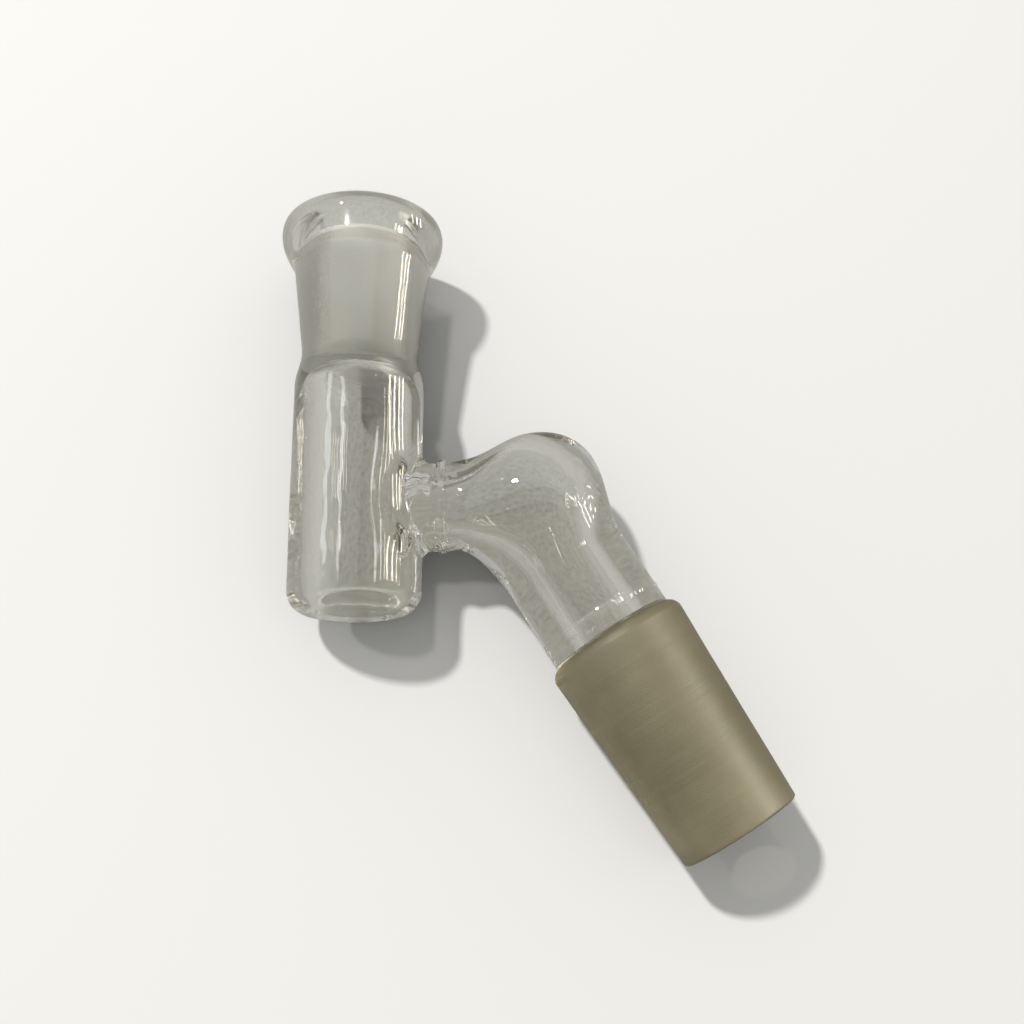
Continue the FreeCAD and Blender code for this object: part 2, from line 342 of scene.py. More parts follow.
def left_band(p, middle, width, depth, low, high):
    """A mask down the -X side of the chamber, on its +Z half."""
    x, y, z = p.T
    across = np.exp(-(((x - middle) / width) ** 2)) * unit(z / depth)
    return across * unit((high - y) / 2) * unit((y - low) / 2)


def inner_ripples(p):
    x, y, z = p.T
    # drawing waves down the left of the cavity
    band = left_band(p, middle=-1.4, width=1.3, depth=2.0, low=2.6, high=22.5)
    height = band * 0.006 * np.sin(3.1 * x + 2.1 * np.sin(0.83 * y + 1.0))
    # ripples across the inside of the bend, on its outer side
    off = p - np.array([22.6, 12.6, 0.4])
    mask = np.exp(-(off[:, 0] ** 2 + off[:, 1] ** 2) / 10.0 - (off[:, 2] / 4.2) ** 2)
    slant = 0.62 * x + 0.78 * y
    broad = 0.030 * np.sin(4.1 * slant + 0.8 * np.sin(1.3 * z))
    return height + mask * (broad + 0.022 * np.sin(6.3 * x - 2.0 * z))


def outer_ripples(p):
    x, y, z = p.T
    # broad waves over the top of the bend
    mask = np.exp(-((x - 21.5) ** 2 + (y - 13.0) ** 2) / 26.0)
    height = mask * 0.020 * np.sin(1.9 * x + 1.1 * y)
    # drawing waves down the left of the chamber
    band = left_band(p, middle=-2.2, width=1.5, depth=4.0, low=2.4, high=23.0)
    wander = 2.4 * np.sin(0.66 * y + 0.4) + 0.8 * np.sin(1.7 * y)
    height += band * 0.008 * np.sin(2.5 * (x + 2.2) + wander)
    # the drawn outlet swells up out of the chamber's wall on its +Z and -Z sides
    reach = np.hypot(y - ARM_Y, z)
    along = ease((x - 1.5) / 2.0) * (1 - ease((x - 7.0) / 1.2))
    ring = 0.30 * np.exp(-(((reach - 4.9) / 1.7) ** 2))
    height += ring * along * (z / np.maximum(reach, 0.1)) ** 2
    # flame ripples on the shoulder of the bend
    mask = np.exp(-((p - np.array([23.4, 12.4, 4.4])) ** 2).sum(1) / 7.5)
    slant = 0.35 * x + 0.94 * y
    broad = 0.016 * np.sin(6.6 * slant + 1.6 * np.sin(2.7 * z))
    return height + mask * (broad + 0.006 * np.sin(9.5 * x - 5.0 * y + 2.0))


def relief(p, inner):
    """How far the skin stands out along its own normal."""
    height = inner_ripples(p) if inner else outer_ripples(p)
    for centre, radius, lump in LUMPS_IN if inner else LUMPS_OUT:
        height += lump * np.exp(-(((p - np.array(centre)) / radius) ** 2).sum(1))
    return height


def slopes(field, p):
    """Central differences of a field along X, Y and Z, on the last axis."""
    step = 1e-3
    sides = [(field(p + e) - field(p - e)) / (2 * step) for e in step * np.eye(3)]
    return np.stack(sides, -1)


def skin_warp(p, normals, inner):
    """The skin's points and normals with the relief and the waves put in."""
    gradient = slopes(lambda at: relief(at, inner), p)
    gradient -= (gradient * normals).sum(1, keepdims=True) * normals
    raised = p + normals * relief(p, inner)[:, None]
    turned = normals - gradient
    bending = slopes(lambda at: waves(at, inner), raised)
    turned = turned - np.einsum("ijk,ij->ik", bending, turned)
    turned /= np.linalg.norm(turned, axis=1, keepdims=True)
    return raised + waves(raised, inner), turned


# -------------------------------------------------------------- node graphs
class Graph:
    """The shader nodes of a material or world."""

    def __init__(self, owner):
        owner.use_nodes = True
        self.owner = owner
        self.tree = owner.node_tree
        self.tree.nodes.clear()

    def feed(self, node, inputs):
        """Links the inputs that are sockets and sets the others."""
        for key, value in inputs.items():
            if isinstance(value, bpy.types.NodeSocket):
                self.tree.links.new(value, node.inputs[key])
            else:
                node.inputs[key].default_value = value

    def node(self, kind, inputs, **settings):
        made = self.tree.nodes.new("ShaderNode" + kind)
        for name, value in settings.items():
            setattr(made, name, value)
        self.feed(made, inputs)
        return made

    @cached_property
    def place(self):
        return self.node("TexCoord", {}).outputs["Object"]

    def mapped(self, **inputs):
        return self.node("Mapping", {"Vector": self.place, **inputs}).outputs[0]

    def math(self, operation, first, second):
        return self.node("Math", {0: first, 1: second}, operation=operation).outputs[0]

    def noise(self, scale, detail, roughness=0.5, distortion=0.0, at=None):
        inputs = {
            "Scale": scale,
            "Detail": detail,
            "Roughness": roughness,
            "Distortion": distortion,
            "Vector": self.place if at is None else at,
        }
        return self.node("TexNoise", inputs).outputs["Fac"]

    def cells(self, scale):
        inputs = {"Scale": scale, "Vector": self.place}
        return self.node("TexVoronoi", inputs).outputs["Distance"]

    def ramp(self, factor, stops):
        """Stops are (position, colour); a single number is a grey."""
        node = self.node("ValToRGB", {0: factor})
        elements = node.color_ramp.elements
        while len(elements) < len(stops):
            elements.new(0.5)
        for element, (position, colour) in zip(elements, stops):
            element.position = position
            element.color = (*(colour if isinstance(colour, tuple) else (colour,) * 3), 1)
        return node.outputs[0]

    def span(self, value, lo, hi, to_lo=0.0, to_hi=1.0):
        inputs = {"From Min": lo, "From Max": hi, "To Min": to_lo, "To Max": to_hi}
        return self.node("MapRange", {"Value": value, **inputs}).outputs["Result"]

    def bump(self, height, distance, strength=1.0, under=None):
        inputs = {"Strength": strength, "Distance": distance, "Height": height}
        if under is not None:
            inputs["Normal"] = under
        return self.node("Bump", inputs).outputs[0]

    def multiply(self, first, second):
        inputs = {0: 1.0, 6: first, 7: second}
        return self.node("Mix", inputs, data_type="RGBA", blend_type="MULTIPLY").outputs[2]

    def facing(self, blend):
        return self.node("LayerWeight", {"Blend": blend}).outputs["Facing"]

    def mix(self, factor, first, second):
        return self.node("MixShader", {0: factor, 1: first, 2: second}).outputs[0]

    def finish(self, shader, output="OutputMaterial"):
        self.node(output, {"Surface": shader})
        return self.owner


def new_material(name):
    return Graph(bpy.data.materials.new(name))


# ---------------------------------------------------------------- materials
GLASS_IOR = 1.473


def glass_shadow(graph, shader, middle, side, edge):
    """Lets lamps through the glass: more at the middle of a wall than at its edge.

    What is seen through the glass gets all of that light, anything else about half of it.
    """
    path = graph.node("LightPath", {})
    through_wall = graph.ramp(graph.facing(0.35), [(0.12, middle), (0.55, side), (0.92, edge)])
    seen_through = graph.math("MINIMUM", path.outputs["Transmission Depth"], 1.0)
    share = graph.span(seen_through, 0.0, 1.0, to_lo=0.48, to_hi=1.0)
    colour = graph.multiply(through_wall, share)
    clear = graph.node("BsdfTransparent", {"Color": colour}).outputs[0]
    return graph.mix(path.outputs["Is Shadow Ray"], shader, clear)


def clear_glass(name, haze, ribs=0.0, milk=0.0, tone=(1.0, 1.0, 1.0)):
    """haze: lowest and highest roughness. ribs: depth in metres. milk: share not transmitted."""
    graph = new_material(name)
    clarity = 1.0 - milk
    glass = graph.node("BsdfPrincipled", {"IOR": GLASS_IOR, "Transmission Weight": clarity})
    # handling marks: broad soft smudges with fine streaks in them
    smudge = graph.span(graph.noise(170.0, 3.0, roughness=0.6, distortion=0.6), 0.5, 0.75)
    marks = graph.math("MULTIPLY", smudge, graph.noise(1900.0, 2.0, roughness=0.6))
    # a faint grey-green body that is a little deeper here and there
    deep = tuple(a * b for a, b in zip((0.972, 0.975, 0.957), tone))
    pale = tuple(a * b for a, b in zip((0.987, 0.989, 0.976), tone))
    body = graph.ramp(graph.noise(90.0, 2.0), [(0.3, deep), (0.7, pale)])
    # specks of dust
    dusty = graph.math("GREATER_THAN", graph.noise(130.0, 1.0), 0.52)
    dots = graph.ramp(graph.cells(360.0), [(0.022, 1), (0.034, 0)])
    speck = graph.math("MULTIPLY", dots, dusty)
    # drawn-tube cords and a few seeds
    cords = graph.bump(graph.noise(420.0, 1.0, roughness=0.4), distance=0.000010)
    seeds = graph.ramp(graph.cells(520.0), [(0.0, 1), (0.10, 0)])
    normal = graph.bump(seeds, distance=0.00002, strength=0.6, under=cords)
    if ribs:
        # the roller leaves faint ribs round the outside
        flat = graph.mapped(Scale=(420.0, 2100.0, 420.0))
        rolled_in = graph.noise(1.0, 2.0, roughness=0.55, at=flat)
        normal = graph.bump(rolled_in, distance=ribs, under=normal)
    inputs = {
        "Roughness": graph.span(marks, 0.0, 0.6, *haze),
        "Base Color": body,
        "Transmission Weight": graph.span(speck, 0.0, 1.0, to_lo=clarity, to_hi=0.15),
        "Normal": normal,
    }
    graph.feed(glass, inputs)
    shadow = {"middle": (0.98, 0.975, 0.955), "side": (0.93, 0.925, 0.90), "edge": (0.78, 0.775, 0.75)}
    return graph.finish(glass_shadow(graph, glass.outputs[0], **shadow))


def seam_glass():
    """The fused join between two pieces: glass runs on through it, so it can't be seen."""
    graph = new_material("fused_seam")
    return graph.finish(graph.node("BsdfTransparent", {}).outputs[0])


def ground_bore():
    graph = new_material("ground_bore")
    # grinding rings round the bore: a height that changes mostly along Y, a little uneven
    flat = graph.mapped(Scale=(40.0, 2600.0, 40.0))
    rings = graph.math("MULTIPLY", graph.noise(1.0, 3.0, roughness=0.65, at=flat), 0.45)
    grain = graph.math("MULTIPLY", graph.noise(5200.0, 3.0, roughness=0.7), 0.45)
    # the tool is drawn out along the bore, which leaves soft bands along it
    drawn = graph.mapped(Scale=(700.0, 14.0, 700.0))
    cloud = graph.noise(1.0, 3.0, roughness=0.6, at=drawn)
    # painted highlight: a light ring at the top of the ground band, over a duller band of painted
    # shade
    height = graph.node("SeparateXYZ", {0: graph.place}).outputs["Y"]
    near_top = graph.span(height, 0.0380, GROUND_TOP * MM)
    painted_ring_stops = [
        (0.20, 0.95),
        (0.42, (0.66, 0.64, 0.59)),
        (0.80, (0.68, 0.66, 0.61)),
        (0.87, (1.16, 1.16, 1.14)),
    ]
    clouded = graph.ramp(cloud, [(0.3, (0.92, 0.92, 0.867)), (0.7, (0.975, 0.975, 0.925))])
    toned = graph.multiply(clouded, graph.ramp(near_top, painted_ring_stops))
    # painted sheen: lighter where the surface turns away from the camera
    away_stops = [(0.22, 0.97), (0.45, 1.10), (0.65, (1.22, 1.22, 1.20))]
    inputs = {
        "IOR": GLASS_IOR,
        "Specular IOR Level": 0.3,
        "Normal": graph.bump(graph.math("ADD", rings, grain), distance=0.00006),
        "Roughness": graph.span(cloud, 0.3, 0.7, to_lo=0.50, to_hi=0.60),
        "Base Color": graph.multiply(toned, graph.ramp(graph.facing(0.5), away_stops)),
        "Transmission Weight": graph.ramp(near_top, [(0.80, 0.86), (0.87, 0.55)]),
    }
    glass = graph.node("BsdfPrincipled", inputs).outputs[0]
    shadow = {"middle": (0.62, 0.615, 0.59), "side": (0.54, 0.535, 0.51), "edge": (0.38, 0.375, 0.35)}
    return graph.finish(glass_shadow(graph, glass, **shadow))


def ground_cone():
    graph = new_material("ground_cone")
    # turn the coordinates so that their X runs along the cone
    turned = graph.mapped(Rotation=(0, 0, math.radians(-CONE_ANGLE)))
    flat_inputs = {"Scale": (2400.0, 60.0, 60.0), "Vector": turned}
    flat = graph.node("Mapping", flat_inputs).outputs[0]
    rings = graph.math("MULTIPLY", graph.noise(1.0, 3.0, roughness=0.7, at=flat), 0.6)
    grain = graph.math("MULTIPLY", graph.noise(6000.0, 3.0, roughness=0.7), 0.5)
    # clouds and streaks of light and dark
    cloud = graph.noise(240.0, 4.0, roughness=0.55, distortion=0.3)
    streak = graph.noise(0.42, 4.0, roughness=0.75, at=flat)
    cloud_share = graph.math("MULTIPLY", cloud, 0.58)
    blend = graph.math("ADD", cloud_share, graph.math("MULTIPLY", streak, 0.42))
    shade = graph.ramp(blend, [(0.35, (0.200, 0.176, 0.106)), (0.65, (0.255, 0.227, 0.142))])
    # painted light along the cone: lighter at the shoulder and the tip, darker between, following the
    # highlight's strength
    start = float(CONE_START @ CONE_AXIS) * MM
    distance = graph.node("SeparateXYZ", {0: turned}).outputs["X"]
    along = graph.span(distance, start, start + CONE_END * MM)
    along_stops = [
        (0.0, (1.04, 1.05, 1.10)),
        (0.16, (0.98, 0.98, 1.01)),
        (0.35, (0.91, 0.91, 0.90)),
        (0.62, (0.94, 0.94, 0.93)),
        (1.0, (1.14, 1.14, 1.17)),
    ]
    # painted shade: darker where the surface turns away from the camera
    away_stops = [
        (0.20, 1.0),
        (0.34, (0.86, 0.86, 0.84)),
        (0.47, (0.75, 0.75, 0.72)),
        (0.62, (0.66, 0.66, 0.62)),
        (0.9, (0.54, 0.54, 0.50)),
    ]
    toned = graph.multiply(shade, graph.ramp(along, along_stops))
    inputs = {
        "IOR": GLASS_IOR,
        "Transmission Weight": 0.55,
        "Normal": graph.bump(graph.math("ADD", rings, grain), distance=0.00005),
        "Roughness": graph.span(cloud, 0.3, 0.7, to_lo=0.44, to_hi=0.51),
        "Base Color": graph.multiply(toned, graph.ramp(graph.facing(0.5), away_stops)),
    }
    glass = graph.node("BsdfPrincipled", inputs).outputs[0]
    shadow = {"middle": (0.52, 0.51, 0.475), "side": (0.46, 0.45, 0.42), "edge": (0.38, 0.37, 0.34)}
    return graph.finish(glass_shadow(graph, glass, **shadow))


CLEAR = clear_glass("clear_glass", haze=(0.004, 0.035))
FUSED = seam_glass()
BORE = ground_bore()
CONE = ground_cone()
RIBBED = clear_glass("ribbed_glass", haze=(0.01, 0.05), ribs=0.000034)
FLAMED = clear_glass("flamed_glass", haze=(0.30, 0.42))
MELTED = clear_glass("melted_glass", haze=(0.09, 0.17))
SEALED = clear_glass("sealed_glass", haze=(0.03, 0.09), milk=0.03)
# the base's glass is toned a little darker: painted shade that calms its bright corner
SETTLED = clear_glass("settled_glass", haze=(0.08, 0.17), tone=(0.96, 0.965, 0.945))
USUAL = (CLEAR, FUSED, BORE, FLAMED)

# ------------------------------------------------------------ making pieces
pieces = {}


def weld(sheets):
    """Shares the points that sheets have in common: one grid of indices each, and the points."""
    index, points, grids = {}, [], []
    for part in sheets:
        flat = part.points.reshape(-1, 3)
        ids = []
        for key, point in zip(map(tuple, np.round(flat * 1e5).astype(np.int64)), flat):
            if key not in index:
                index[key] = len(points)
                points.append(point)
            ids.append(index[key])
        grids.append(np.array(ids).reshape(part.points.shape[:2]))
    return grids, np.array(points)


def corners(grid, wrap):
    """The four corners of every quad of a grid."""
    rows, columns = grid.shape[:2]
    row, column = np.indices((rows - 1, columns if wrap else columns - 1)).reshape(2, -1)
    after = (column + 1) % columns
    ring = [grid[row, column], grid[row, after], grid[row + 1, after], grid[row + 1, column]]
    return np.stack(ring, 1)


def piece(node, sheets, mats=USUAL, slot="clear_glass"):
    """Makes one closed mesh, its seams shared with its skins, its normals from the shape."""
    grids, true_points = weld(sheets)
    points, placed = true_points.copy(), np.zeros(len(true_points), bool)
    skin_normals = []
    for part, ids in zip(sheets, grids):
        if part.mat == SEAM:
            skin_normals.append(None)
            continue
        flat = part.points.reshape(-1, 3), part.normals.reshape(-1, 3)
        moved, normals = skin_warp(*flat, part.inner)
        skin_normals.append(normals.reshape(part.points.shape))
        # a point shared by two skins stays where the first one puts it
        for i, point in zip(ids.ravel(), moved):
            if not placed[i]:
                points[i] = point
                placed[i] = True

    faces, loop_normals, face_mats = [], [], []
    for part, ids, normals in zip(sheets, grids, skin_normals):
        quads = corners(ids, part.wrap)
        at = true_points[quads]
        cross = np.cross(at[:, 2] - at[:, 0], at[:, 3] - at[:, 1])
        flip = (cross * corners(part.normals, part.wrap).mean(1)).sum(1).sum() < 0
        if normals is None:
            # seams are flat-shaded
            length = np.maximum(np.linalg.norm(cross, axis=1, keepdims=True), 1e-12)
            flat = (-cross if flip else cross) / length
            quad_normals = np.repeat(flat[:, None], 4, 1)
        else:
            quad_normals = corners(normals, part.wrap)
        if flip:
            quads, quad_normals = quads[:, ::-1], quad_normals[:, ::-1]
        for quad, four in zip(quads, quad_normals):
            kept = [i for i in range(4) if quad[i] != quad[i - 1]]
            if len(set(quad[kept])) < 3:
                continue
            faces.append([int(i) for i in quad[kept]])
            loop_normals.extend(four[kept])
            face_mats.append(part.mat)

    mesh = bpy.data.meshes.new("glass_" + node)
    mesh.from_pydata((points * MM).tolist(), [], faces)
    for mat in mats:
        mesh.materials.append(mat)
    mesh.polygons.foreach_set("material_index", np.array(face_mats, np.int32))
    mesh.polygons.foreach_set("use_smooth", np.ones(len(face_mats), bool))
    mesh.update()
    mesh.normals_split_custom_set([tuple(normal) for normal in loop_normals])
    made = bpy.data.objects.new("glass_" + node, mesh)
    scene.collection.objects.link(made)
    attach(made, "root")
    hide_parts(node)
    pieces[node] = made


# ---------------------------------------------- chamber and socket, about +Y
# Profiles are (radius, height): the outside from the base's centre up to the rim,
# then the inside from the rim down to the cavity's floor.
outside = chain(
    straight((0, 0), (CHAMBER_R - BASE_EDGE, 0), step=0.4),
    arc((CHAMBER_R - BASE_EDGE, BASE_EDGE), BASE_EDGE, -90, 0, steps=18),
    straight((CHAMBER_R, BASE_EDGE), (CHAMBER_R, CHAMBER_TOP)),
    through([
        (CHAMBER_R, CHAMBER_TOP), (6.67, 24.0), (6.57, 24.7), (6.37, 25.5), (6.17, 26.3),
        (6.06, 27.0), (6.06, 27.7), (6.14, 28.6), (6.25, 29.5), (6.36, 30.5), (6.46, 31.5),
        (6.57, 32.5), (6.69, 33.5), (6.82, 34.5), (6.94, 35.5), (7.04, 36.3), (7.14, 36.9),
        (7.32, 37.4), (7.60, 37.95), (7.95, 38.6), (8.28, 39.3), (8.50, 40.1), (RIM_R, RIM_Y),
        (8.50, 41.55), (8.22, 42.15), (7.72, 42.55), (SOCKET_TOP_R, SOCKET_TOP),
    ]),
)
lip_r = GAUGE_R - TAPER * LIP
ground_low_r = GAUGE_R - TAPER * (SOCKET_TOP - GROUND_LOW)
lip_points = [
    (lip_r + 0.8, SOCKET_TOP),
    (lip_r + 0.50, SOCKET_TOP - 0.05),
    (lip_r + 0.24, SOCKET_TOP - 0.22),
    (lip_r + 0.06, SOCKET_TOP - 0.47),
    (lip_r, SOCKET_TOP - LIP),
]
above_throat = [(ground_low_r, GROUND_LOW), (3.86, 25.56), (3.50, 25.34), (THROAT_R, THROAT_Y)]
below_throat = [
    (THROAT_R, THROAT_Y), (3.45, 24.87), (3.74, 24.45), (3.90, 23.95), (CAVITY_R, CHAMBER_TOP),
]
foot_r, foot_y = CAVITY_R - CAVITY_EDGE, CAVITY_FLOOR + CAVITY_EDGE
inside = chain(
    straight((SOCKET_TOP_R, SOCKET_TOP), lip_points[0]),
    through(lip_points, step=0.12),
    straight(lip_points[-1], above_throat[0]),
    through(above_throat, step=0.12),
    through(below_throat, step=0.12),
    straight(below_throat[-1], (CAVITY_R, foot_y)),
    arc((foot_r, foot_y), CAVITY_EDGE, 0, -90, steps=12),
    straight((foot_r, CAVITY_FLOOR), (0, CAVITY_FLOOR), step=0.4),
)

# Half the side of the square patch round the arm's hole, 60 degrees of wall each way.
PATCH_OUT = CHAMBER_R * math.pi / 3
PATCH_IN = CAVITY_R * math.pi / 3
splits = [BASE_SPLIT, SEAL_LOW, SEAL_HIGH, RIM_LOW]
outside = with_heights(outside, splits + [ARM_Y - PATCH_OUT, ARM_Y + PATCH_OUT])
inside = with_heights(inside, splits + [GROUND_TOP, ARM_Y - PATCH_IN, ARM_Y + PATCH_IN])
whole = chain(outside, inside)
whole_normals = path_normals(whole)
turn = len(outside)
PROFILES = {
    False: (whole[:turn], whole_normals[:turn]),
    True: (whole[turn - 1 :], whole_normals[turn - 1 :]),
}
ABOVE_ALL = SOCKET_TOP + 1


def spun(low, high, inner, mat=SKIN):
    return revolve(PROFILES[inner], CHAMBER_SPINDLE, mat, inner, low, high)


def radius_at(height, inner):
    path = PROFILES[inner][0]
    return path[np.argmin(abs(path[:, 1] - height)), 0]


def chamber_cap(height, sign):
    radii = radius_at(height, False), radius_at(height, True)
    return cap(CHAMBER_SPINDLE, height, *radii, sign)


piece(
    "socket_rim",
    [
        spun(RIM_LOW, ABOVE_ALL, False),
        spun(GROUND_TOP, ABOVE_ALL, True, HAZE),
        spun(RIM_LOW, GROUND_TOP, True, GROUND),
        chamber_cap(RIM_LOW, -1),
    ],
    mats=(CLEAR, FUSED, BORE, MELTED),
)
piece(
    "socket_joint",
    [
        spun(SEAL_HIGH, RIM_LOW, False),
        spun(SEAL_HIGH, RIM_LOW, True, GROUND),
        chamber_cap(SEAL_HIGH, -1),
        chamber_cap(RIM_LOW, 1),
    ],
    mats=(RIBBED, FUSED, BORE),
    slot="ground_socket_glass",
)
piece(
    "socket_seal_ring",
    [
        spun(SEAL_LOW, SEAL_HIGH, False),
        spun(GROUND_LOW, SEAL_HIGH, True, GROUND),
        spun(THROAT_Y, GROUND_LOW, True, GROUND),
        spun(SEAL_LOW, THROAT_Y, True, HAZE),
        chamber_cap(SEAL_LOW, -1),
        chamber_cap(SEAL_HIGH, 1),
    ],
)
piece(
    "chamber_base",
    [
        spun(-1, BASE_SPLIT, False),
        spun(0.5, BASE_SPLIT, True, HAZE),
        chamber_cap(BASE_SPLIT, 1),
    ],
    mats=(SETTLED, FUSED, BORE, MELTED),
)


# ------------------------------ chamber tube with the hole for the side arm
def on_cylinder(radius, u, y):
    """u is the distance round a cylinder about Y from its +X side."""
    return np.stack([radius * np.cos(u / radius), y, radius * np.sin(u / radius)], -1)


def from_chamber_axis(points, radius, side=1):
    """Normals of a cylinder about Y, outward or, with side -1, inward."""
    return points * np.array([1, 0, 1]) / radius * side


def pierced(radius, half, hole, inner):
    """The band of a cylinder round the hole: a fan from the hole to a square, and a grid."""
    side = -1 if inner else 1
    share = np.linspace(0, 1, 21)[:, None] ** 1.25
    hole_u, hole_v = radius * np.arctan2(hole[:, 2], hole[:, 0]), hole[:, 1] - ARM_Y
    u = hole_u[None] * (1 - share) + PATCH_EDGE[None, :, 0] * half * share
    v = hole_v[None] * (1 - share) + PATCH_EDGE[None, :, 1] * half * share
    fan = on_cylinder(radius, u, v + ARM_Y)
    fan[0] = hole
    # the grid goes round the back, from 60 to 300 degrees
    shape = PATCH_STEPS + 1, 97
    round_u = np.radians(60 + np.arange(shape[1]) * 2.5) * radius
    heights = ARM_Y + half * np.linspace(1, -1, shape[0])
    u, y = np.broadcast_to(round_u, shape), np.broadcast_to(heights[:, None], shape)
    grid = on_cylinder(radius, u, y)
    return [
        sheet(fan, from_chamber_axis(fan, radius, side), inner=inner),
        sheet(grid, from_chamber_axis(grid, radius, side), inner=inner, wrap=False),
    ]


def crossing(radius, arm_radius):
    """Where a cylinder about the chamber's axis meets one about the arm's axis."""
    y, z = ARM_Y + arm_radius * COS, arm_radius * SIN
    return np.stack([np.sqrt(radius * radius - z * z), y, z], 1)


def rolled(radius, arm_radius, ball, rows):
    """A blend rolled by a ball outside those two cylinders; its normals face the ball."""
    z, y = (arm_radius + ball) * SIN, ARM_Y + (arm_radius + ball) * COS
    reach = radius + ball
    x = np.sqrt(reach**2 - z * z)
    centre = np.stack([x, y, z], 1)
    first = (np.stack([x * radius / reach, y, z * radius / reach], 1) - centre) / ball
    last = (np.stack([x, ARM_Y + arm_radius * COS, arm_radius * SIN], 1) - centre) / ball
    angle = np.arccos(np.clip((first * last).sum(1), -1, 1))[:, None]
    share = np.linspace(0, 1, rows + 1)[:, None, None]
    spread = np.sin((1 - share) * angle) * first + np.sin(share * angle) * last
    spoke = spread / np.sin(angle)
    return centre + ball * spoke, -spoke


def band_sheets(radius, half, hole, inner):
    return [
        spun(BASE_SPLIT, ARM_Y - half, inner),
        spun(ARM_Y + half, SEAL_LOW, inner),
        *pierced(radius, half, hole, inner),
    ]


saddle_edge = crossing(CHAMBER_R, SADDLE_R)
# the seat is a patch of a cylinder, so it has several rows that follow it
seat = np.array([crossing(SEAT_R, r) for r in np.linspace(SADDLE_R, ARM_BORE, 9)])
seat_normals = from_chamber_axis(seat, SEAT_R)
# the ball that rolls the cavity's blend is in the glass, so the normals are turned round
cavity_blend, to_ball = rolled(CAVITY_R, ARM_BORE, CAVITY_FILLET, rows=10)
piece(
    "chamber_tube",
    [
        *band_sheets(CHAMBER_R, PATCH_OUT, saddle_edge, inner=False),
        *band_sheets(CAVITY_R, PATCH_IN, cavity_blend[0], inner=True),
        sheet(cavity_blend, -to_ball, inner=True),
        sheet(ruled(cavity_blend[-1], seat[-1], rows=8), -RADIAL, inner=True),
        bridge(saddle_edge, seat[0], -RADIAL),
        sheet(seat, seat_normals, SEAM),
        chamber_cap(BASE_SPLIT, -1),
        chamber_cap(SEAL_LOW, 1),
    ],
)

# --------------------------------------------------------------- side outlet
blend, blend_normals = rolled(CHAMBER_R, ARM_R, FILLET, rows=14)
foot = ruled(saddle_edge, blend[0], rows=3)
foot_angle = np.arctan2(foot[..., 2], foot[..., 0])
foot = np.stack(
    [CHAMBER_R * np.cos(foot_angle), foot[..., 1], CHAMBER_R * np.sin(foot_angle)], -1
)
foot[0], foot[-1] = saddle_edge, blend[0]
neck_end = circle(ARM_SPINDLE, ARM_R, OUTLET_END)
neck_bore_end = circle(ARM_SPINDLE, ARM_BORE, OUTLET_END)
piece(
    "side_outlet",
    [
        sheet(foot, from_chamber_axis(foot, CHAMBER_R)),
        sheet(blend, blend_normals),
        sheet(ruled(blend[-1], neck_end, rows=12), RADIAL),
        sheet(ruled(seat[-1], neck_bore_end, rows=12), -RADIAL, inner=True),
        cap(ARM_SPINDLE, OUTLET_END, ARM_R, ARM_BORE, 1),
        sheet(seat, -seat_normals, SEAM),
        bridge(saddle_edge, seat[0], RADIAL),
    ],
)

# ----------------------------------------------------------------- seam ring
ring_out = swell(ARM_R, SEAM_PROUD, OUTLET_END, SEAM_END, steps=12)
ring_in = swell(ARM_BORE, -SEAM_PROUD, SEAM_END, OUTLET_END, steps=12)
piece(
    "arm_seam_ring",
    [
        revolve((ring_out, path_normals(ring_out)), ARM_SPINDLE),
        revolve((ring_in, path_normals(ring_in)), ARM_SPINDLE, inner=True),
        cap(ARM_SPINDLE, OUTLET_END, ARM_R, ARM_BORE, -1),
        cap(ARM_SPINDLE, SEAM_END, ARM_R, ARM_BORE, 1),
    ],
)

# -------------------------------------------------------- arm tube and knee
# Straight stations before and after the bend set the directions of its ends.
LEAD_IN = (8.2, 8.6)  # x
LEAD_OUT = (TUBE_TOP, TUBE_TOP + 0.5, TUBE_TOP + 1.5)  # along the cone's axis


def station(upper, lower, half_z, upper_wall, lower_wall, cavity_half_z):
    """Centre, half of the line from lower to upper, and half width: outside, then cavity."""
    upper, lower = np.array(upper, float), np.array(lower, float)
    up = (upper - lower) / np.linalg.norm(upper - lower)
    high, low = upper - up * upper_wall, lower + up * lower_wall
    outer = [(upper + lower) / 2, (upper - lower) / 2, [half_z]]
    return np.concatenate(outer + [(high + low) / 2, (high - low) / 2, [cavity_half_z]])


def round_station(centre, side, radius, bore):
    wall = radius - bore
    return station(centre + side * radius, centre - side * radius, radius, wall, wall, bore)


stations = [round_station(np.array([x, ARM_Y]), Y[:2], ARM_R, ARM_BORE) for x in LEAD_IN]
stations += [station(*row) for row in KNEE]
for distance in LEAD_OUT:
    centre = (CONE_START + CONE_AXIS * distance)[:2]
    stations.append(round_station(centre, CONE_SIDE[:2], TUBE_R, TUBE_BORE))
stations = np.array(stations)
station_gaps = np.linalg.norm(np.diff(stations[:, :2], axis=0), axis=1)
run = np.concatenate([[0], np.cumsum(station_gaps)])
bend = cubic(run, stations)


def bend_points(t, angles, inner):
    first = 5 if inner else 0
    values = bend(t)[:, first : first + 5]
    zero = np.zeros((len(values), 1))
    centre = np.concatenate([values[:, 0:2], zero], 1)[:, None]
    half = np.concatenate([values[:, 2:4], zero], 1)[:, None]
    sideways = (values[:, 4:5] * np.sin(angles)[None])[..., None]
    return centre + half * np.cos(angles)[None, :, None] + Z * sideways


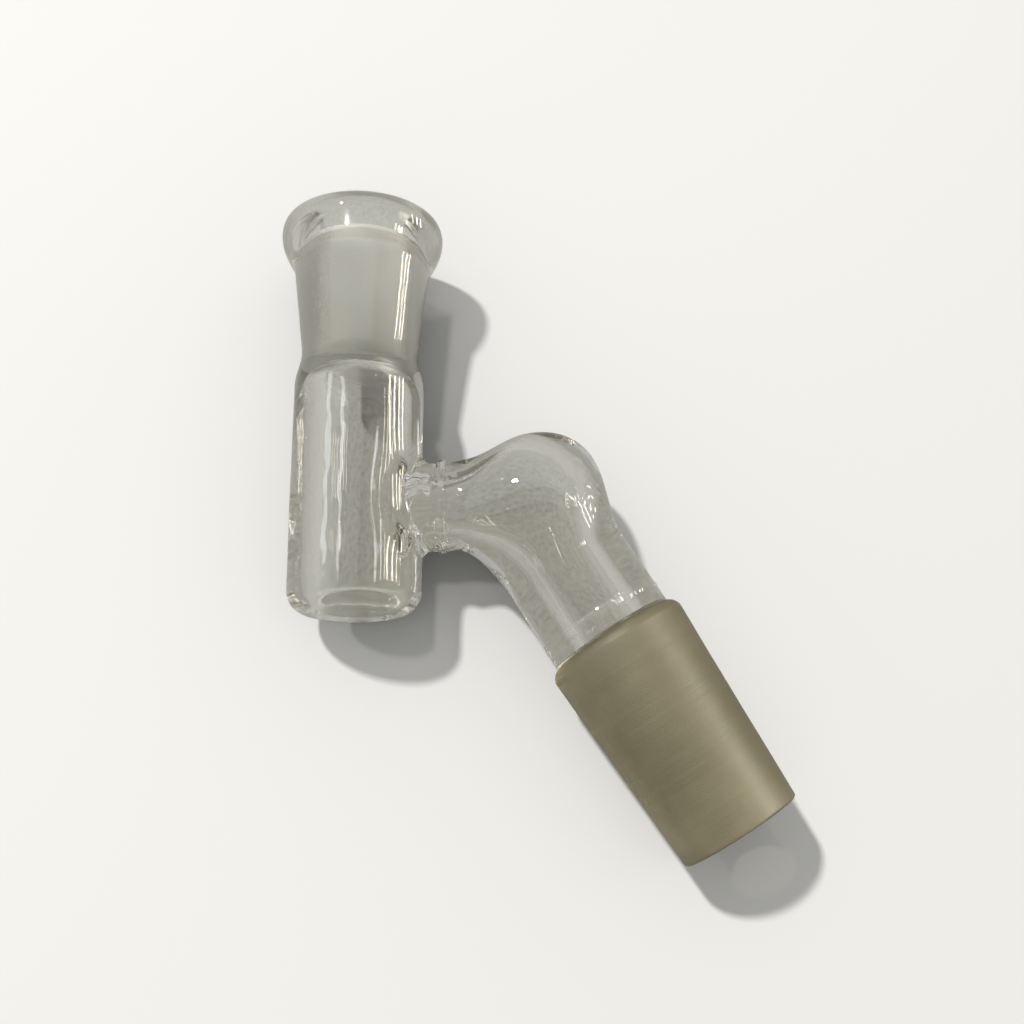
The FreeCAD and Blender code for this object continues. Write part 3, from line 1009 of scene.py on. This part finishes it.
def bend_sheet(start, end, inner):
    t = np.linspace(start, end, max(2, int(round((end - start) / 0.18))) + 1)
    points = bend_points(t, PATCH_ANGLES, inner)
    e = 1e-4
    along = bend_points(t + e, PATCH_ANGLES, inner) - bend_points(t - e, PATCH_ANGLES, inner)
    around = bend_points(t, PATCH_ANGLES + e, inner) - bend_points(t, PATCH_ANGLES - e, inner)
    normals = np.cross(along / (2 * e), around / (2 * e))
    normals /= np.linalg.norm(normals, axis=2, keepdims=True)
    if ((points - points.mean(1, keepdims=True)) * normals).sum() < 0:
        normals = -normals
    return sheet(points, -normals if inner else normals, inner=inner)


def bend_cap(t, sign):
    outer, bore = (bend_points(np.array([t]), PATCH_ANGLES, inner)[0] for inner in (False, True))
    e = 1e-3
    x, y = (bend(np.array([t + e])) - bend(np.array([t - e])))[0, :2]
    return bridge(outer, bore, (sign * x, sign * y, 0))


def bend_piece(node, start, end):
    skins = [bend_sheet(start, end, inner) for inner in (False, True)]
    piece(node, skins + [bend_cap(start, -1), bend_cap(end, 1)])


arm_start = len(LEAD_IN)
knee_start = arm_start + KNEE_SPLIT
bend_piece("arm_tube", run[arm_start], run[knee_start])
bend_piece("knee_bend", run[knee_start], run[arm_start + len(KNEE)])

# ------------------------------------------------ drop tube, seal ring, cone
# Profiles are (radius, station): the tube's outside, the cone's outside, the bore back up.
tip_r = CONE_R - TAPER * (CONE_END - CONE_SHOULDER)
edge_r = tip_r + TAPER * CONE_EDGE
mouth_r = TUBE_BORE + CONE_MOUTH
tube_out = chain(
    straight((TUBE_R, TUBE_TOP), (TUBE_R, CONE_SEAL_LOW)),
    swell(TUBE_R, CONE_SEAL_PROUD, CONE_SEAL_LOW, CONE_SEAL_HIGH, steps=8),
    straight((TUBE_R, CONE_SEAL_HIGH), (TUBE_R, 0.0)),
)
cone_shoulder = [(TUBE_R, 0), (6.62, 0.12), (6.98, 0.42), (CONE_R, CONE_SHOULDER)]
cone_out = chain(
    through(cone_shoulder, step=0.08),
    straight((CONE_R, CONE_SHOULDER), (edge_r, CONE_END - CONE_EDGE)),
    arc((edge_r - CONE_EDGE, CONE_END - CONE_EDGE), CONE_EDGE, 0, 90, steps=6),
    straight((edge_r - CONE_EDGE, CONE_END), (mouth_r, CONE_END), step=0.4),
)
tube_bore = chain(
    arc((mouth_r, CONE_END - CONE_MOUTH), CONE_MOUTH, 90, 180, steps=6),
    straight((TUBE_BORE, CONE_END - CONE_MOUTH), (TUBE_BORE, CONE_SEAL_HIGH)),
    swell(TUBE_BORE, -CONE_SEAL_INSIDE, CONE_SEAL_HIGH, CONE_SEAL_LOW, steps=8),
    straight((TUBE_BORE, CONE_SEAL_LOW), (TUBE_BORE, TUBE_TOP)),
)
down_path = chain(tube_out, cone_out, tube_bore)
down_normals = path_normals(down_path)
tube_last = len(tube_out) - 1
cone_last = len(chain(tube_out, cone_out)) - 1
TUBE_PART = slice(0, tube_last + 1)
CONE_PART = slice(tube_last, cone_last + 1)
BORE_PART = slice(cone_last, None)


def down(part, low, high=math.inf, mat=SKIN):
    profile = down_path[part], down_normals[part]
    return revolve(profile, CONE_SPINDLE, mat, part is BORE_PART, low, high)


def down_cap(at, sign):
    return cap(CONE_SPINDLE, at, TUBE_R, TUBE_BORE, sign)


def down_piece(node, low, high, **looks):
    skins = [down(TUBE_PART, low, high), down(BORE_PART, low, high)]
    piece(node, skins + [down_cap(low, -1), down_cap(high, 1)], **looks)


down_piece("drop_tube", TUBE_TOP, CONE_SEAL_LOW)
down_piece("cone_seal_ring", CONE_SEAL_LOW, CONE_SEAL_HIGH, mats=(SEALED, FUSED, BORE))
piece(
    "cone_joint",
    [
        down(TUBE_PART, CONE_SEAL_HIGH, 0),
        down(CONE_PART, 0, mat=GROUND),
        down(BORE_PART, CONE_SEAL_HIGH),
        down_cap(CONE_SEAL_HIGH, -1),
    ],
    mats=(CLEAR, FUSED, CONE),
    slot="ground_cone_glass",
)

# --------------------------------------------------------------- the floor
FLOOR_HALF = 6.0  # metres
# The floor is parallel to the plane of the adapter's lowest points: rim, base and cone.
RESTS = MM * np.array([(0, RIM_Y, -RIM_R), (0, BASE_EDGE, -CHAMBER_R), (26.1, -3.3, -CONE_R)])


def make_floor():
    points = np.concatenate([[v.co for v in made.data.vertices] for made in pieces.values()])
    plane = np.stack([np.ones(3), RESTS[:, 0], RESTS[:, 1]], 1)
    level, slope_x, slope_y = np.linalg.solve(plane, RESTS[:, 2])
    above = points[:, 2] - (level + slope_x * points[:, 0] + slope_y * points[:, 1])
    level += above.min()
    signs = [(-1, -1), (1, -1), (1, 1), (-1, 1)]
    flat = [(FLOOR_HALF * a, FLOOR_HALF * b) for a, b in signs]
    mesh = bpy.data.meshes.new("floor")
    mesh.from_pydata(
        [(x, y, level + slope_x * x + slope_y * y) for x, y in flat], [], [(0, 1, 2, 3)]
    )
    made = bpy.data.objects.new("floor", mesh)
    scene.collection.objects.link(made)
    return made


def pale_floor():
    """Plain and pale to the camera, a mottled grey to every other ray."""
    graph = new_material("pale_floor")
    soft = graph.noise(2600.0, 3.0, roughness=0.6)
    height = graph.math("ADD", graph.cells(1500.0), soft)
    mottle_stops = [(0.2, (0.365, 0.36, 0.337)), (0.85, (0.485, 0.48, 0.452))]
    mottle = graph.ramp(graph.math("MULTIPLY", height, 0.7), mottle_stops)
    grain = graph.bump(height, distance=0.00012, strength=0.7)
    grey = graph.node("BsdfDiffuse", {"Color": mottle, "Normal": grain}).outputs[0]
    pale = graph.node("BsdfDiffuse", {"Color": (0.80, 0.80, 0.79, 1)}).outputs[0]
    to_camera = graph.node("LightPath", {}).outputs["Is Camera Ray"]
    return graph.finish(graph.mix(to_camera, grey, pale))


floor = make_floor()
floor.data.materials.append(pale_floor())

# ------------------------------------------------------------------- lights
# Sizes and distances are in metres, powers in watts.
LAMP_TARGET = Vector((0.012, 0.012, 0))
NEAR = 0.60
WARM_WHITE = (1.0, 0.99, 0.96)


def objects_but(*left_out):
    return [made for node, made in pieces.items() if node not in left_out]


def lamp(name, direction, size, power, colour, lit, distance=NEAR):
    """A panel that faces the target and lights only the objects in lit."""
    data = bpy.data.lights.new(name, "AREA")
    data.shape = "RECTANGLE"
    data.size, data.size_y = size
    data.energy = power
    data.color = colour
    made = bpy.data.objects.new(name, data)
    z = Vector(direction).normalized()
    x = Vector((0, 1, 0)).cross(z).normalized()
    y = z.cross(x).normalized()
    made.location = LAMP_TARGET + z * distance
    made.rotation_mode = "QUATERNION"
    made.rotation_quaternion = Matrix((x, y, z)).transposed().to_quaternion()
    scene.collection.objects.link(made)
    receivers = bpy.data.collections.new(name + "_lights")
    for each in lit:
        receivers.objects.link(each)
    made.light_linking.receiver_collection = receivers


def beside(name, turn, rise, size, power, lit):
    """A tall narrow panel on the +X side: turn is in degrees from +Z, rise its share of +Y."""
    angle, level = math.radians(turn), math.sqrt(1 - rise * rise)
    direction = (level * math.sin(angle), rise, level * math.cos(angle))
    lamp(name, direction, size, power, (1.0, 0.94, 0.79), lit)


SOCKET = ("socket_joint", "socket_rim", "socket_seal_ring")
socket_pieces = [pieces[node] for node in SOCKET]
lamp(
    "key",
    direction=(-0.45, 0.52, 1.0),
    size=(0.07, 0.07),
    power=11.6,
    colour=(1.0, 0.985, 0.955),
    lit=objects_but("chamber_base", "chamber_tube", "socket_seal_ring", "socket_joint") + [floor],
    distance=1.20,
)
lamp(
    "left_strip",
    direction=(-0.70, 0.285, 0.66),
    size=(0.08, 0.12),
    power=0.18,
    colour=(0.93, 0.97, 1.0),
    lit=[pieces[node] for node in ("chamber_tube", "chamber_base", "side_outlet")],
)
# turn, power
for i, (turn, power) in enumerate(((62.5, 0.34), (72.5, 0.32), (82.0, 0.29), (90.0, 0.25))):
    lit = objects_but("cone_joint", *SOCKET)
    beside(f"right_{i + 1}", turn, rise=0.285, size=(0.026, 0.16), power=power, lit=lit)
for i, turn in enumerate((76.8, 84.6, 91.6)):
    name = f"socket_panel_{i + 1}"
    beside(name, turn, rise=0.26, size=(0.022, 0.15), power=0.30, lit=socket_pieces)
lamp(
    "socket_fill",
    direction=(-0.2, 0.3, 1.0),
    size=(0.90, 0.90),
    power=2.0,
    colour=WARM_WHITE,
    lit=[pieces["socket_joint"]],
)
cone_only = [pieces["cone_joint"]]
beside("cone_panel", turn=61.0, rise=0.15, size=(0.05, 0.20), power=3.6, lit=cone_only)
lamp(
    "cone_fill",
    direction=(-1.3, -0.25, 1.0),
    size=(0.15, 0.15),
    power=0.45,
    colour=WARM_WHITE,
    lit=cone_only,
)


def make_world():
    """A grey sky, a little lighter overhead."""
    world = bpy.data.worlds.new("world")
    graph = Graph(world)
    place = graph.node("TexCoord", {}).outputs["Generated"]
    up = graph.span(graph.node("SeparateXYZ", {0: place}).outputs["Z"], -1.0, 1.0)
    sky_stops = [(0.48, (0.395, 0.395, 0.38)), (0.62, (0.42, 0.42, 0.405)), (1.0, (0.49, 0.49, 0.48))]
    inputs = {"Color": graph.ramp(up, sky_stops), "Strength": 1.0}
    graph.finish(graph.node("Background", inputs).outputs[0], "OutputWorld")
    return world


scene.world = make_world()

# ------------------------------------------------------------------- camera
CAMERA_AT = Vector((15.797, -22.374, 117.252)) * MM
CAMERA_RIGHT = (0.9999417, -0.0104028, -0.0029015)
CAMERA_UP = (0.0107999, 0.9631787, 0.2686450)
CAMERA_BACK = (0.0, -0.2686607, 0.9632349)

lens = bpy.data.cameras.new("camera")
lens.sensor_width = 36.0
lens.lens = 42.1875
lens.clip_start, lens.clip_end = 0.001, 20.0
camera = bpy.data.objects.new("camera", lens)
scene.collection.objects.link(camera)
facing = Matrix((CAMERA_RIGHT, CAMERA_UP, CAMERA_BACK)).transposed().to_4x4()
camera.matrix_world = Matrix.Translation(CAMERA_AT) @ facing
scene.camera = camera

# ------------------------------------------------------------------- render
scene.view_settings.view_transform = "Standard"
scene.view_settings.look = "None"
cycles = scene.cycles
cycles.max_bounces = 40
cycles.transmission_bounces = 40
cycles.glossy_bounces = 40
cycles.diffuse_bounces = 4
cycles.transparent_max_bounces = 64
cycles.caustics_reflective = False
cycles.caustics_refractive = False
cycles.blur_glossy = 0.3
cycles.sample_clamp_indirect = 10.0
cycles.use_denoising = True
